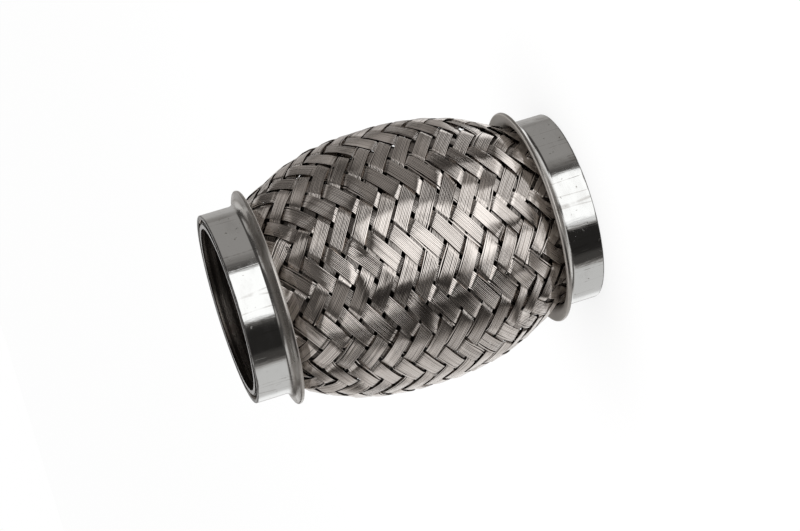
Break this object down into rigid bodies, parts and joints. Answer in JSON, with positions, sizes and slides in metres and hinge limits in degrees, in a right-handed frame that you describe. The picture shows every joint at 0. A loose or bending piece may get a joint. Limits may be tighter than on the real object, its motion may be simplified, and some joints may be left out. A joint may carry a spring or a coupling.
{
  "type": "exhaust flex pipe",
  "caption": "Bellied flexible exhaust pipe: woven steel sleeve over a bellows and a strip-wound liner, with a flared collar at each end.",
  "frame": {"origin": "middle of the lower end, on the plane that the pipe stands on", "axes": "+Z along the pipe's axis towards its upper end; X and Y are any two directions across it"},
  "size_m": [0.0734, 0.0734, 0.1],
  "materials": {
    "collar_steel": "satin",
    "sleeve_wire": "satin",
    "bellows_steel": "satin",
    "liner_steel": "satin"
  },
  "bodies": {
    "root": {"upper_end_collar": "collar_steel", "lower_end_collar": "collar_steel", "braided_sleeve": "sleeve_wire", "bellows": "bellows_steel", "interlock_liner": "liner_steel"}
  },
  "joints": []
}
